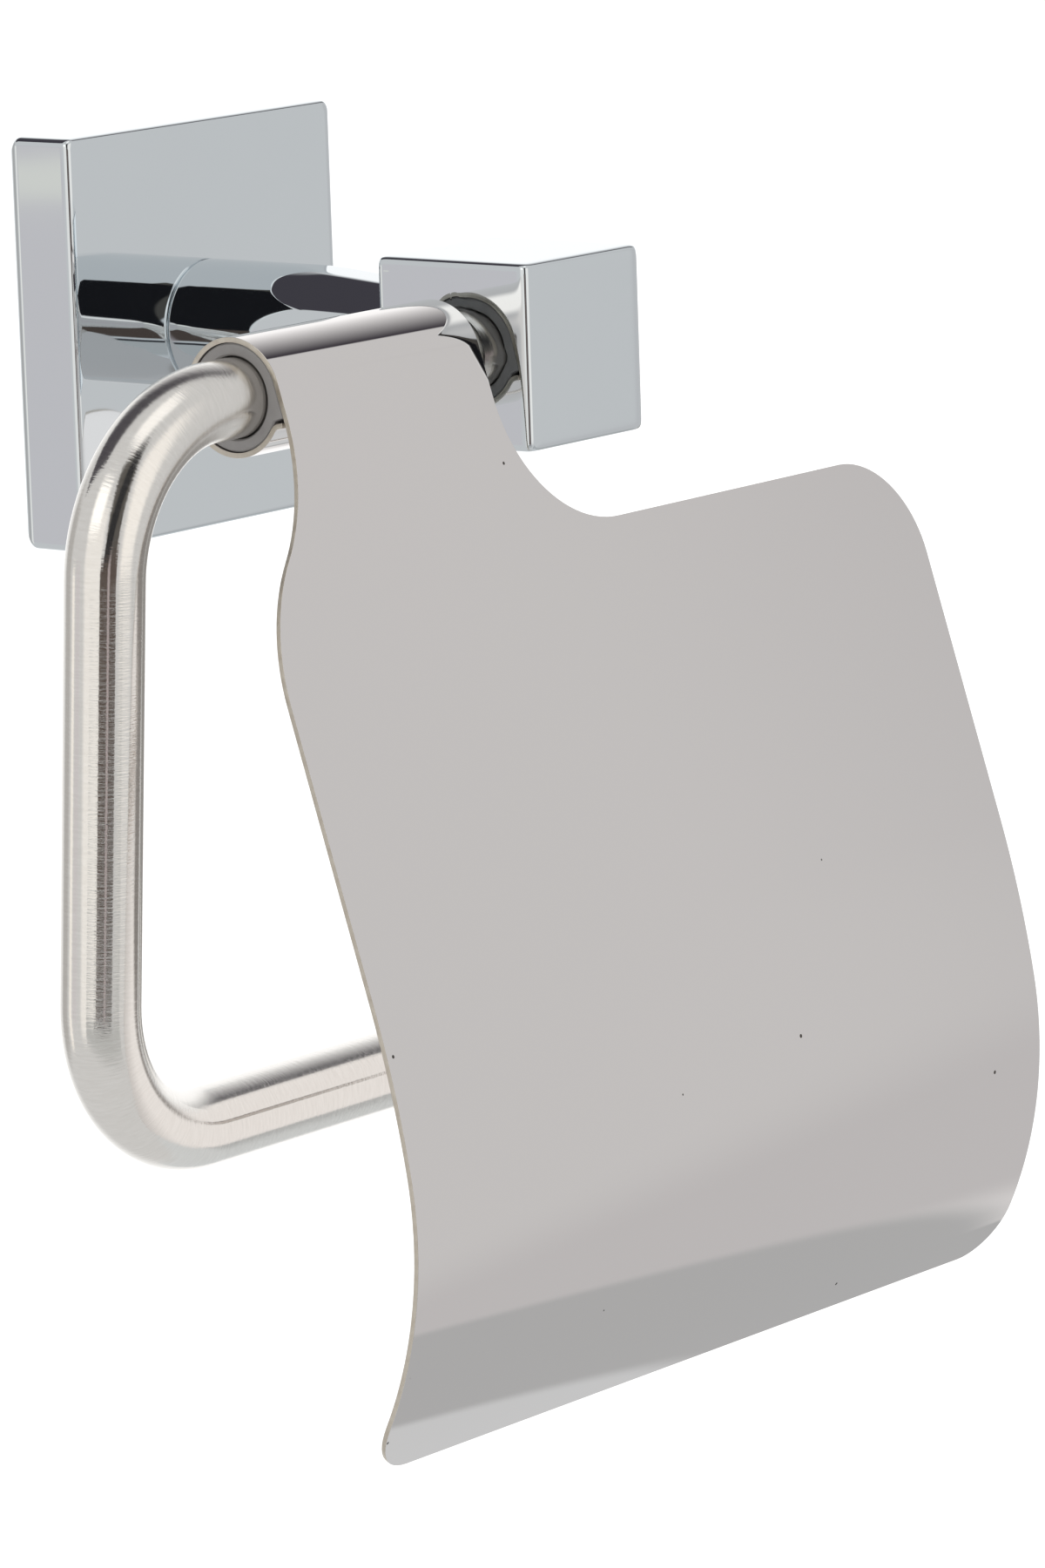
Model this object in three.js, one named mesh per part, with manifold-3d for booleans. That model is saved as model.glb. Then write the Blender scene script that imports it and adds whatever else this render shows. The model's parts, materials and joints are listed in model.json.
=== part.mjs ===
// A wall-mounted toilet paper holder: a square rosette, a stem and a cube block carry a bent rod for
// the roll, and a curved steel cover hangs from the rod's upper bar and swings about it.
// Millimetres. +X runs to the right along the wall, -Y points out of the wall, +Z is up.
// The origin is the rosette's centre on the wall.
import * as THREE from "three";
import { mergeVertices } from "three/addons/utils/BufferGeometryUtils.js";
import Module from "manifold-3d";

// ---------- driving dimensions ----------
const FIT = 0.3; // gap between fixed pieces that touch
const RUNNING = 0.15; // radial gap between the rod and what turns or slides on it

const ROSETTE_SIDE = 50;
const ROSETTE_CORNER = 0.8; // corner radius of the square outline
const ROSETTE_FRONT_EDGE = 0.4; // rounding of the front edges
const ROSETTE_BACK_EDGE = 2; // rounding of the edges against the wall
const ROSETTE_SIDE_WALL = 2.4;
const ROSETTE_FRONT_WALL = 2.6;

const BRACKET_SIDE_MARGIN = 5.6; // from the rosette's inner wall to the bracket's sides
const BRACKET_LIP_MARGIN = 3.2; // from the rosette's inner wall to the bracket's lips
const BRACKET_SHEET = 1.8;
const BRACKET_LIP_WIDTH = 16;
const SLOT_EDGE = 1.5; // from a wall screw slot's end to the bracket's side
const SLOT_LENGTH = 9;
const SLOT_WIDTH = 4.6;

const SCREW_RADIUS = 2.5; // screw that pulls the stem against the rosette
const SCREW_GRIP = 12; // its length in the stem
const SCREW_HEAD_RADIUS = 4.6;
const SCREW_HEAD_HEIGHT = 2.6;
const WASHER_RADIUS = 5.6;
const WASHER_THICKNESS = 1;
const SCREW_CLEARANCE = 1.6; // from the screw's head to the bracket

const STEM_RADIUS = 8;
const STEM_LENGTH = 35.4;
const STEM_FLATS = 12.2; // across the eight flats, where the stem meets the block
const STEM_TAPER = 0.096; // how fast each flat leaves the axis, per mm

const BLOCK_SIDE = 22.3;
const BLOCK_EDGE = 0.5;
const STUD_RADIUS = 3;
const STUD_IN_STEM = 7;
const STUD_WALL = 1.35; // metal left between the stud's end and the rod's bore

const ROD_RADIUS = 4.65;
const BORE_WALL = 7.5; // metal left in the block past the end of the rod's bore
const ROD_CLEAR = 4.25; // straight length between the cover's hinge and the upper bend
const ROD_DROP = 85; // between the upper and the lower bar
const ROD_BEND = 18; // radius of the bends' centre line
const ROD_LOWER = 120; // from the side leg's axis to the lower bar's free end
const ROD_LEAN = 3.85; // degrees, the loop leans towards the wall

const GRUB_RADIUS = 1.9; // screw that holds the rod in the block
const GRUB_SUNK = 0.5; // how far a grub screw sits below the face around it
const GRUB_X = 4; // from the block's centre towards the rod
const PLATE_GRUB_RADIUS = 1.5; // screw that holds the rosette on its bracket
const KEY_SHARE = 0.55; // hex socket radius as a share of the screw's radius
const KEY_DEPTH = 2;

const COVER_SHEET = 0.7;
const COVER_ROLL_TURN = 322; // degrees of sheet rolled round the rod
const COVER_BLOCK_GAP = 3.5; // between the rolled hinge and the block
const COVER_NECK_WIDTH = 37.1;
const COVER_WIDTH = 125;
const COVER_LEFT_OVERHANG = 12.7; // how far the panel passes the neck on the left
const COVER_FLAT = 70.5; // straight length below the hinge
const COVER_EASE = 19.6; // then a gentle bend
const COVER_EASE_RADIUS = 142;
const COVER_CURL = 37.8; // then a tighter one
const COVER_CURL_RADIUS = 50.7;
const COVER_SHOULDER = 23.2; // from the hinge to the panel's top edge on the right
const COVER_NECK_FILLET = 17;
const COVER_TOP_CORNER = 13;
const COVER_BOTTOM_CORNER = 7;
const COVER_SWEEP_START = 4; // where the left edge starts to widen
const COVER_SWEEP_END = 36;
const COVER_TILT = 17.2; // degrees from hanging straight down

const BUSH_LENGTH = 8;
const BUSH_WALL = 1.3;

// ---------- places that follow ----------
const screwStack = SCREW_CLEARANCE + SCREW_HEAD_HEIGHT + FIT + WASHER_THICKNESS + FIT;
const rosetteDepth = BRACKET_SHEET + screwStack + ROSETTE_FRONT_WALL;
const rosetteFront = -rosetteDepth;
const cavityFront = rosetteFront + ROSETTE_FRONT_WALL;
const cavityHalf = ROSETTE_SIDE / 2 - ROSETTE_SIDE_WALL;
const bracketHalf = cavityHalf - BRACKET_LIP_MARGIN;
const bracketSide = cavityHalf - BRACKET_SIDE_MARGIN;
const slotMiddle = bracketSide - SLOT_EDGE - SLOT_LENGTH / 2;
const stemEnd = rosetteFront - STEM_LENGTH;
const blockHalf = BLOCK_SIDE / 2;
const studInBlock = blockHalf - ROD_RADIUS - RUNNING - STUD_WALL;
const rodY = stemEnd - blockHalf; // the upper bar runs through the block's middle
const rodEndX = blockHalf - BORE_WALL - FIT;
const bushRadius = ROD_RADIUS + RUNNING + BUSH_WALL;
const rollRadius = bushRadius + RUNNING + COVER_SHEET; // outside of the rolled hinge
const rollRight = -blockHalf - COVER_BLOCK_GAP;
const rollLeft = rollRight - COVER_NECK_WIDTH;
const panelLeft = rollLeft - COVER_LEFT_OVERHANG;
const panelRight = panelLeft + COVER_WIDTH;
const rodLegX = rollLeft - ROD_CLEAR - ROD_BEND;
const rodTailX = rodLegX + ROD_LOWER;
const coverLength = COVER_FLAT + COVER_EASE + COVER_CURL;

// ---------- helpers ----------
const wasm = await Module();
wasm.setup();

function toSolid(geometry) {
  const bare = new THREE.BufferGeometry();
  bare.setAttribute("position", geometry.getAttribute("position"));
  if (geometry.index) bare.setIndex(geometry.index);
  const merged = mergeVertices(bare, 1e-4);
  return new wasm.Manifold(
    new wasm.Mesh({
      numProp: 3,
      vertProperties: new Float32Array(merged.attributes.position.array),
      triVerts: new Uint32Array(merged.index.array),
    }),
  );
}

function toGeometry(solid) {
  const mesh = solid.getMesh();
  const geometry = new THREE.BufferGeometry();
  geometry.setAttribute("position", new THREE.BufferAttribute(mesh.vertProperties, 3));
  geometry.setIndex(new THREE.BufferAttribute(mesh.triVerts, 1));
  geometry.computeVertexNormals();
  return geometry;
}

function cut(geometry, ...tools) {
  return toGeometry(tools.reduce((solid, tool) => solid.subtract(toSolid(tool)), toSolid(geometry)));
}

function join(geometry, ...others) {
  return toGeometry(others.reduce((solid, other) => solid.add(toSolid(other)), toSolid(geometry)));
}

// A box between two corners.
function boxBetween(low, high) {
  const size = high.map((value, i) => value - low[i]);
  const middle = high.map((value, i) => (value + low[i]) / 2);
  return new THREE.BoxGeometry(...size).translate(...middle);
}

// A round bar along "x", "y" or "z", from one coordinate to another; centre holds its other two.
function bar(axis, radius, from, to, centre = [0, 0], sides = 24) {
  const geometry = new THREE.CylinderGeometry(radius, radius, Math.abs(to - from), sides);
  const middle = (from + to) / 2;
  if (axis === "x") return geometry.rotateZ(Math.PI / 2).translate(middle, centre[0], centre[1]);
  if (axis === "y") return geometry.translate(centre[0], middle, centre[1]);
  return geometry.rotateX(Math.PI / 2).translate(centre[0], centre[1], middle);
}

// A square with rounded corners, pulled out of the XZ plane from backY to frontY.
function roundedBlock(side, corner, edge, backY, frontY) {
  const half = side / 2 - edge;
  const round = Math.max(corner - edge, 0.1);
  const shape = new THREE.Shape();
  shape.absarc(half - round, half - round, round, 0, Math.PI / 2);
  shape.absarc(round - half, half - round, round, Math.PI / 2, Math.PI);
  shape.absarc(round - half, round - half, round, Math.PI, Math.PI * 1.5);
  shape.absarc(half - round, round - half, round, Math.PI * 1.5, Math.PI * 2);
  const options = { depth: backY - frontY - 2 * edge, curveSegments: 3 };
  Object.assign(options, { bevelSize: edge, bevelThickness: edge, bevelSegments: 3 });
  return new THREE.ExtrudeGeometry(shape, options)
    .rotateX(Math.PI / 2)
    .translate(0, backY - edge, 0);
}

// A headless screw along Z with a hex socket in its lower end.
function grubScrew(radius, lowZ, highZ) {
  const key = bar("z", radius * KEY_SHARE, lowZ - FIT, lowZ + KEY_DEPTH, [0, 0], 6);
  return cut(bar("z", radius, lowZ, highZ), key);
}

function metal(color, roughness) {
  return new THREE.MeshStandardMaterial({ color, roughness, metalness: 1 });
}
const chrome = () => metal(0xc9cdd2, 0.06);
const satinSteel = () => metal(0xd2cec8, 0.32);
const polishedSteel = () => metal(0xc6c2c0, 0.14);
const zincSteel = () => metal(0xa4a6a4, 0.4);
const greyPlastic = () =>
  new THREE.MeshStandardMaterial({ color: 0x8a8886, roughness: 0.6, metalness: 0 });

function piece(name, geometry, material) {
  const mesh = new THREE.Mesh(geometry, material);
  mesh.name = name;
  return mesh;
}

// ---------- wall bracket ----------
function wallBracket() {
  const plate = new THREE.Shape();
  plate.moveTo(-bracketSide, -bracketHalf);
  plate.lineTo(bracketSide, -bracketHalf);
  plate.lineTo(bracketSide, bracketHalf);
  plate.lineTo(-bracketSide, bracketHalf);
  for (const side of [-1, 1]) {
    const middle = side * slotMiddle;
    const reach = (SLOT_LENGTH - SLOT_WIDTH) / 2;
    const slot = new THREE.Path();
    slot.absarc(middle + reach, 0, SLOT_WIDTH / 2, -Math.PI / 2, Math.PI / 2);
    slot.absarc(middle - reach, 0, SLOT_WIDTH / 2, Math.PI / 2, Math.PI * 1.5);
    plate.holes.push(slot);
  }
  const options = { depth: BRACKET_SHEET, bevelEnabled: false, curveSegments: 8 };
  const base = new THREE.ExtrudeGeometry(plate, options).rotateX(Math.PI / 2);
  const halfLip = BRACKET_LIP_WIDTH / 2;
  const lipFront = cavityFront + FIT;
  const lips = [-1, 1].map((side) => {
    const outer = side * bracketHalf;
    const inner = side * (bracketHalf - BRACKET_SHEET);
    const low = [-halfLip, lipFront, Math.min(outer, inner)];
    return boxBetween(low, [halfLip, -BRACKET_SHEET / 2, Math.max(outer, inner)]);
  });
  return join(base, ...lips);
}

// ---------- rosette ----------
const plateGrubY = (cavityFront - BRACKET_SHEET) / 2;

function wallPlate() {
  const middle = rosetteFront / 2;
  const front = roundedBlock(ROSETTE_SIDE, ROSETTE_CORNER, ROSETTE_FRONT_EDGE, middle, rosetteFront);
  const overlap = ROSETTE_FRONT_EDGE * 2;
  const backFront = middle - ROSETTE_BACK_EDGE - overlap;
  const back = roundedBlock(ROSETTE_SIDE, ROSETTE_CORNER, ROSETTE_BACK_EDGE, 0, backFront);
  const behind = rosetteDepth; // the cutting box reaches well past the open back
  const cavity = boxBetween([-cavityHalf, cavityFront, -cavityHalf], [cavityHalf, behind, cavityHalf]);
  const screwHole = bar("y", SCREW_RADIUS + FIT, rosetteFront - 1, cavityFront + 1);
  const below = -ROSETTE_SIDE / 2 - 1;
  const grubHole = bar("z", PLATE_GRUB_RADIUS + FIT, below, 1 - cavityHalf, [0, plateGrubY], 16);
  return cut(join(front, back), cavity, screwHole, grubHole);
}

function plateGrubScrew() {
  const low = -ROSETTE_SIDE / 2 + GRUB_SUNK;
  return grubScrew(PLATE_GRUB_RADIUS, low, -bracketHalf - FIT).translate(0, plateGrubY, 0);
}

// ---------- stem screw and washer ----------
const washerBack = cavityFront + FIT + WASHER_THICKNESS;
const screwHeadFront = washerBack + FIT;
const screwEnd = rosetteFront - FIT - SCREW_GRIP;

function stemWasher() {
  const disc = bar("y", WASHER_RADIUS, cavityFront + FIT, washerBack);
  return cut(disc, bar("y", SCREW_RADIUS + FIT, cavityFront, washerBack + 1));
}

function stemScrew() {
  const headBack = screwHeadFront + SCREW_HEAD_HEIGHT;
  const head = bar("y", SCREW_HEAD_RADIUS, screwHeadFront, headBack);
  const shank = bar("y", SCREW_RADIUS, screwEnd, headBack - SCREW_HEAD_HEIGHT / 2);
  const key = bar("y", SCREW_RADIUS, headBack - SCREW_HEAD_HEIGHT / 2, headBack + 1, [0, 0], 6);
  return cut(join(head, shank), key);
}

// ---------- stem ----------
function stem() {
  const back = rosetteFront - FIT;
  const front = stemEnd + FIT;
  const round = bar("y", STEM_RADIUS, front, back, [0, 0], 48);
  const cornerShare = 1 / Math.cos(Math.PI / 8);
  const narrow = (STEM_FLATS / 2) * cornerShare;
  const wide = narrow + STEM_LENGTH * STEM_TAPER * cornerShare;
  const flats = new THREE.CylinderGeometry(wide, narrow, STEM_LENGTH, 8)
    .rotateY(Math.PI / 8)
    .translate(0, (rosetteFront + stemEnd) / 2, 0);
  const body = toGeometry(toSolid(round).intersect(toSolid(flats)));
  const screwHole = bar("y", SCREW_RADIUS + FIT, screwEnd - 1, back + 1);
  const studHole = bar("y", STUD_RADIUS + FIT, front - 1, stemEnd + STUD_IN_STEM + FIT);
  return cut(body, screwHole, studHole);
}

// ---------- block ----------
const grubTopZ = -ROD_RADIUS - FIT;
const grubLowZ = GRUB_SUNK - blockHalf;

function block() {
  const cube = roundedBlock(BLOCK_SIDE, BLOCK_EDGE * 1.2, BLOCK_EDGE, stemEnd, stemEnd - BLOCK_SIDE);
  const boreEnd = rodEndX + FIT;
  const rodBore = bar("x", ROD_RADIUS + RUNNING, -blockHalf - 1, boreEnd, [rodY, 0], 32);
  const studHole = bar("y", STUD_RADIUS + FIT, stemEnd - studInBlock - FIT, stemEnd + 1);
  const grubHole = bar("z", GRUB_RADIUS + FIT, -blockHalf - 1, 0, [-GRUB_X, rodY], 16);
  return cut(cube, rodBore, studHole, grubHole);
}

function blockStud() {
  return bar("y", STUD_RADIUS, stemEnd - studInBlock, stemEnd + STUD_IN_STEM);
}

function armGrubScrew() {
  return grubScrew(GRUB_RADIUS, grubLowZ, grubTopZ).translate(-GRUB_X, rodY, 0);
}

// ---------- rod ----------
// The rod is drawn in its own flat frame, with the upper bar on the X axis; its group leans it.
class RodPath extends THREE.Curve {
  constructor() {
    super();
    this.upper = rodEndX - rodLegX - ROD_BEND;
    this.arc = (ROD_BEND * Math.PI) / 2;
    this.leg = ROD_DROP - 2 * ROD_BEND;
    this.lower = rodTailX - rodLegX - ROD_BEND;
    this.total = this.upper + this.arc + this.leg + this.arc + this.lower;
  }

  getPoint(t, target = new THREE.Vector3()) {
    let along = t * this.total;
    const bendX = rodLegX + ROD_BEND;
    if (along <= this.upper) return target.set(rodEndX - along, 0, 0);
    along -= this.upper;
    if (along <= this.arc) {
      const turn = along / ROD_BEND;
      return target.set(bendX - ROD_BEND * Math.sin(turn), 0, ROD_BEND * (Math.cos(turn) - 1));
    }
    along -= this.arc;
    if (along <= this.leg) return target.set(rodLegX, 0, -ROD_BEND - along);
    along -= this.leg;
    if (along <= this.arc) {
      const turn = along / ROD_BEND;
      const z = -ROD_DROP + ROD_BEND * (1 - Math.sin(turn));
      return target.set(bendX - ROD_BEND * Math.cos(turn), 0, z);
    }
    return target.set(bendX + along - this.arc, 0, -ROD_DROP);
  }
}

function armRod() {
  const section = new THREE.Shape();
  section.absarc(0, 0, ROD_RADIUS, 0, Math.PI * 2);
  const options = { steps: 56, curveSegments: 12, bevelEnabled: false, extrudePath: new RodPath() };
  return new THREE.ExtrudeGeometry(section, options);
}

// ---------- cover ----------
// The sheet is followed along its length s: below zero it is rolled round the rod, from zero it
// hangs down. A station gives a point of the outer surface and the way out of the sheet there.
function coverStation(s) {
  if (s <= 0) {
    const turn = -s / rollRadius;
    const out = [-Math.cos(turn), Math.sin(turn)];
    return { y: rollRadius * out[0], z: rollRadius * out[1], out };
  }
  let y = -rollRadius;
  let z = -Math.min(s, COVER_FLAT);
  let heading = 0;
  const bends = [
    [COVER_FLAT, COVER_EASE, COVER_EASE_RADIUS],
    [COVER_FLAT + COVER_EASE, COVER_CURL, COVER_CURL_RADIUS],
  ];
  for (const [start, length, radius] of bends) {
    const turn = Math.min(Math.max(s - start, 0), length) / radius;
    y += radius * (Math.cos(heading) - Math.cos(heading + turn));
    z -= radius * (Math.sin(heading + turn) - Math.sin(heading));
    heading += turn;
  }
  return { y, z, out: [-Math.cos(heading), -Math.sin(heading)] };
}

// How far an arc that starts square to an edge has moved sideways, a given way along.
const arcOffset = (radius, along) => radius - Math.sqrt(Math.max(radius ** 2 - along ** 2, 0));

function coverLeft(s) {
  const span = COVER_SWEEP_END - COVER_SWEEP_START;
  const halfTurn = Math.atan(COVER_LEFT_OVERHANG / span);
  const radius = span / 2 / Math.sin(2 * halfTurn);
  const low = coverLength - COVER_BOTTOM_CORNER;
  if (s <= COVER_SWEEP_START) return rollLeft;
  if (s <= (COVER_SWEEP_START + COVER_SWEEP_END) / 2) {
    return rollLeft - arcOffset(radius, s - COVER_SWEEP_START);
  }
  if (s <= COVER_SWEEP_END) return panelLeft + arcOffset(radius, COVER_SWEEP_END - s);
  return s <= low ? panelLeft : panelLeft + arcOffset(COVER_BOTTOM_CORNER, s - low);
}

function coverRight(s) {
  const filletTop = COVER_SHOULDER - COVER_NECK_FILLET;
  const cornerEnd = COVER_SHOULDER + COVER_TOP_CORNER;
  const low = coverLength - COVER_BOTTOM_CORNER;
  if (s <= filletTop) return rollRight;
  if (s <= COVER_SHOULDER) return rollRight + arcOffset(COVER_NECK_FILLET, s - filletTop);
  if (s <= cornerEnd) return panelRight - arcOffset(COVER_TOP_CORNER, cornerEnd - s);
  return s <= low ? panelRight : panelRight - arcOffset(COVER_BOTTOM_CORNER, s - low);
}

// Lengths at even turns of an arc: they crowd where the arc runs square to the sheet's length.
function arcStops(from, to, radius, count, flatEnd) {
  const stops = [];
  for (let i = 0; i <= count; i++) {
    const turn = (i / count) * Math.asin(Math.min(Math.abs(to - from) / radius, 1));
    stops.push(flatEnd === "to" ? from + radius * Math.sin(turn) : to - radius * Math.sin(turn));
  }
  return stops;
}

function evenStops(from, to, count) {
  return Array.from({ length: count + 1 }, (_, i) => from + ((to - from) * i) / count);
}

function coverStops() {
  const rolled = (COVER_ROLL_TURN * Math.PI * rollRadius) / 180;
  const low = coverLength - COVER_BOTTOM_CORNER;
  const step = 0.02; // the shoulder and the bottom edge take this much length
  const stops = [
    ...evenStops(-rolled, 0, 36),
    ...evenStops(COVER_SWEEP_START, COVER_SWEEP_END, 16),
    ...arcStops(COVER_SHOULDER - COVER_NECK_FILLET, COVER_SHOULDER - step, COVER_NECK_FILLET, 10, "to"),
    ...arcStops(COVER_SHOULDER + step, COVER_SHOULDER + COVER_TOP_CORNER, COVER_TOP_CORNER, 8, "from"),
    ...evenStops(COVER_FLAT, COVER_FLAT + COVER_EASE, 3),
    ...evenStops(COVER_FLAT + COVER_EASE, low, 10),
    ...arcStops(low, coverLength, COVER_BOTTOM_CORNER, 6, "to"),
  ].sort((a, b) => a - b);
  return stops.filter((s, i) => i === 0 || s - stops[i - 1] > step / 2);
}

function coverSheet() {
  const vertices = [];
  const faces = [];
  const stops = coverStops();
  stops.forEach((s, i) => {
    const { y, z, out } = coverStation(s);
    const inner = [y - COVER_SHEET * out[0], z - COVER_SHEET * out[1]];
    for (const x of [coverLeft(s), coverRight(s)]) vertices.push(x, y, z, x, ...inner);
    if (i === 0) return;
    const [outerLeft, innerLeft, outerRight, innerRight] = [0, 1, 2, 3];
    const loop = [outerLeft, outerRight, innerRight, innerLeft];
    loop.forEach((corner, j) => {
      const next = loop[(j + 1) % 4];
      const [a, b] = [4 * (i - 1) + corner, 4 * (i - 1) + next];
      faces.push(a, a + 4, b, b, a + 4, b + 4);
    });
  });
  const end = 4 * (stops.length - 1);
  faces.push(0, 2, 1, 1, 2, 3);
  faces.push(end, end + 1, end + 2, end + 1, end + 3, end + 2);
  const geometry = new THREE.BufferGeometry();
  geometry.setAttribute("position", new THREE.Float32BufferAttribute(vertices, 3));
  geometry.setIndex(faces);
  geometry.computeVertexNormals();
  return geometry;
}

function coverBush(from, to) {
  const outer = bar("x", bushRadius, from, to, [0, 0], 36);
  return cut(outer, bar("x", ROD_RADIUS + RUNNING, from - 1, to + 1, [0, 0], 32));
}

// ---------- assembly ----------
const post = new THREE.Group();
post.add(
  piece("wall_bracket", wallBracket(), zincSteel()),
  piece("wall_plate", wallPlate(), chrome()),
  piece("plate_grub_screw", plateGrubScrew(), zincSteel()),
  piece("stem_washer", stemWasher(), zincSteel()),
  piece("stem_screw", stemScrew(), zincSteel()),
  piece("stem", stem(), chrome()),
  piece("block_stud", blockStud(), zincSteel()),
  piece("block", block(), chrome()),
  piece("arm_grub_screw", armGrubScrew(), zincSteel()),
);

const arm = new THREE.Group();
arm.position.y = rodY;
arm.rotation.x = THREE.MathUtils.degToRad(ROD_LEAN);
arm.add(piece("arm_rod", armRod(), satinSteel()));

const cover = new THREE.Group();
cover.position.y = rodY;
cover.rotation.x = -THREE.MathUtils.degToRad(COVER_TILT);
cover.add(
  piece("cover_sheet", coverSheet(), polishedSteel()),
  piece("cover_bush_left", coverBush(rollLeft, rollLeft + BUSH_LENGTH), greyPlastic()),
  piece("cover_bush_right", coverBush(rollRight - BUSH_LENGTH, rollRight), greyPlastic()),
);

const holder = new THREE.Group();
holder.add(post, arm, cover);
export default holder;
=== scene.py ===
# Toilet paper holder: chrome rosette, stem and block, satin steel roll bar, hinged steel cover.
import json
import math

import bmesh
import bpy
from mathutils import Matrix, Vector


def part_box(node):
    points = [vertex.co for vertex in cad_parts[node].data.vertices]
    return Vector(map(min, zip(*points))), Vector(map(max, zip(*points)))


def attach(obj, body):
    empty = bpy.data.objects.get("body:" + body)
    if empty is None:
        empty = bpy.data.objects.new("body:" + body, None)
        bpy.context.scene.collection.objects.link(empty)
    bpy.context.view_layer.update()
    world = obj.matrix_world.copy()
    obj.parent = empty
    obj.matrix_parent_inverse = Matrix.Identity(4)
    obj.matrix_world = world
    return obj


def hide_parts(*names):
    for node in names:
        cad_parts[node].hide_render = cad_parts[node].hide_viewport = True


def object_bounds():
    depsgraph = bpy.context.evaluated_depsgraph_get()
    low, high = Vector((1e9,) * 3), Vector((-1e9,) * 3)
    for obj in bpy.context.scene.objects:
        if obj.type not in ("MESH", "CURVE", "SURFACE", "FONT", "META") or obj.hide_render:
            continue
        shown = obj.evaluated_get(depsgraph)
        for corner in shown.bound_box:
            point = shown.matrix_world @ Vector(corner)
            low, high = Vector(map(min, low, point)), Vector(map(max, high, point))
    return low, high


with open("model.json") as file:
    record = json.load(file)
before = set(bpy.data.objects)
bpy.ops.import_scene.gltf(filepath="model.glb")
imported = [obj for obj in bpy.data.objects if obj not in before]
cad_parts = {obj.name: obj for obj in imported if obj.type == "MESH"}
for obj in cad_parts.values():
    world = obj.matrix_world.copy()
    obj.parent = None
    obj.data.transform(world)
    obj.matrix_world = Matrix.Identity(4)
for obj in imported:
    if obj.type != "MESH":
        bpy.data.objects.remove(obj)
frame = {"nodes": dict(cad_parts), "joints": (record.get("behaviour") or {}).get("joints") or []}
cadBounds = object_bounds()
mm = 0.001  # piece sizes below are in millimetres
overshoot = 1  # how far a cutter stands out of the surface it enters
print("frame loaded")


# mesh helpers

def boxMm(node):
    low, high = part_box(node)
    return low / mm, high / mm


def linkMesh(name, bm, *materials):
    mesh = bpy.data.meshes.new(name)
    bm.to_mesh(mesh)
    bm.free()
    for material in materials:
        mesh.materials.append(material)
    obj = bpy.data.objects.new(name, mesh)
    bpy.context.scene.collection.objects.link(obj)
    return obj


def meshPiece(name, bm, material, body, replaced):
    bmesh.ops.recalc_face_normals(bm, faces=bm.faces)
    obj = linkMesh(name, bm, material)
    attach(obj, body)
    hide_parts(replaced)
    return obj


def applyModifiers(obj):
    graph = bpy.context.evaluated_depsgraph_get()
    baked = bpy.data.meshes.new_from_object(obj.evaluated_get(graph), depsgraph=graph)
    obj.modifiers.clear()
    old = obj.data
    obj.data = baked
    bpy.data.meshes.remove(old)
    baked.name = obj.name


def smoothByAngle(obj, degrees):
    obj.data.shade_smooth()
    obj.data.set_sharp_from_angle(angle=math.radians(degrees))


def bevelEdges(obj, width, segments, degrees):
    bevel = obj.modifiers.new("bevel", "BEVEL")
    bevel.width = width * mm
    bevel.segments = segments
    bevel.limit_method = "ANGLE"
    bevel.angle_limit = math.radians(degrees)
    applyModifiers(obj)


def weightNormals(obj):
    obj.data.shade_smooth()
    weighted = obj.modifiers.new("weighted", "WEIGHTED_NORMAL")
    weighted.mode = "FACE_AREA"
    weighted.weight = 100  # the largest faces count most
    applyModifiers(obj)


def combine(obj, other, operation):
    boolean = obj.modifiers.new("combine", "BOOLEAN")
    boolean.operation = operation
    boolean.solver = "EXACT"
    boolean.object = other
    applyModifiers(obj)
    bpy.data.objects.remove(other)


def loft(rings, closed=False):
    # rings of points are joined by quads; an open loft gets a flat face at each end
    bm = bmesh.new()
    rows = [[bm.verts.new(Vector(point) * mm) for point in ring] for ring in rings]
    pairs = list(zip(rows, rows[1:]))
    if closed:
        pairs.append((rows[-1], rows[0]))
    for first, second in pairs:
        for i in range(len(first)):
            j = (i + 1) % len(first)
            bm.faces.new((first[i], first[j], second[j], second[i]))
    if not closed:
        bm.faces.new(rows[0])
        bm.faces.new(rows[-1])
    return bm


def circleRing(centre, radius, across, up, count):
    turns = [2 * math.pi * i / count for i in range(count)]
    return [centre + across * (radius * math.cos(a)) + up * (radius * math.sin(a)) for a in turns]


def roundCutter(start, end, radius, count=48):
    start, end = Vector(start), Vector(end)
    way = (end - start).normalized()
    across = way.orthogonal().normalized()
    up = way.cross(across)
    bm = loft([circleRing(point, radius, across, up, count) for point in (start, end)])
    bmesh.ops.recalc_face_normals(bm, faces=bm.faces)
    return linkMesh("cutter", bm)


# camera

view = {
    "azimuth": 52.17,  # degrees to the left of straight on
    "elevation": 10.44,
    "roll": -1.9,
    "distance": 0.9482,  # metres, as is the target
    "target": (-0.0047, -0.060, -0.0522),
    "lens": 182.6,
    "nearest": 0.05,
    "farthest": 60,
}


def addCamera():
    turn = math.radians(view["azimuth"])
    rise = math.radians(view["elevation"])
    roll = math.radians(view["roll"])
    back = Vector((-math.sin(turn) * math.cos(rise), -math.cos(turn) * math.cos(rise), math.sin(rise)))
    right = (-back).cross(Vector((0, 0, 1))).normalized()
    up = right.cross(-back)
    rolledRight = right * math.cos(roll) + up * math.sin(roll)
    rolledUp = up * math.cos(roll) - right * math.sin(roll)
    data = bpy.data.cameras.new("camera")
    data.lens = view["lens"]
    camera = bpy.data.objects.new("camera", data)
    bpy.context.scene.collection.objects.link(camera)
    matrix = Matrix((rolledRight, rolledUp, back)).transposed().to_4x4()
    matrix.translation = Vector(view["target"]) + back * view["distance"]
    camera.matrix_world = matrix
    data.clip_start = view["nearest"]
    data.clip_end = view["farthest"]
    bpy.context.scene.camera = camera


addCamera()
print("camera set")


# node helpers

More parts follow.
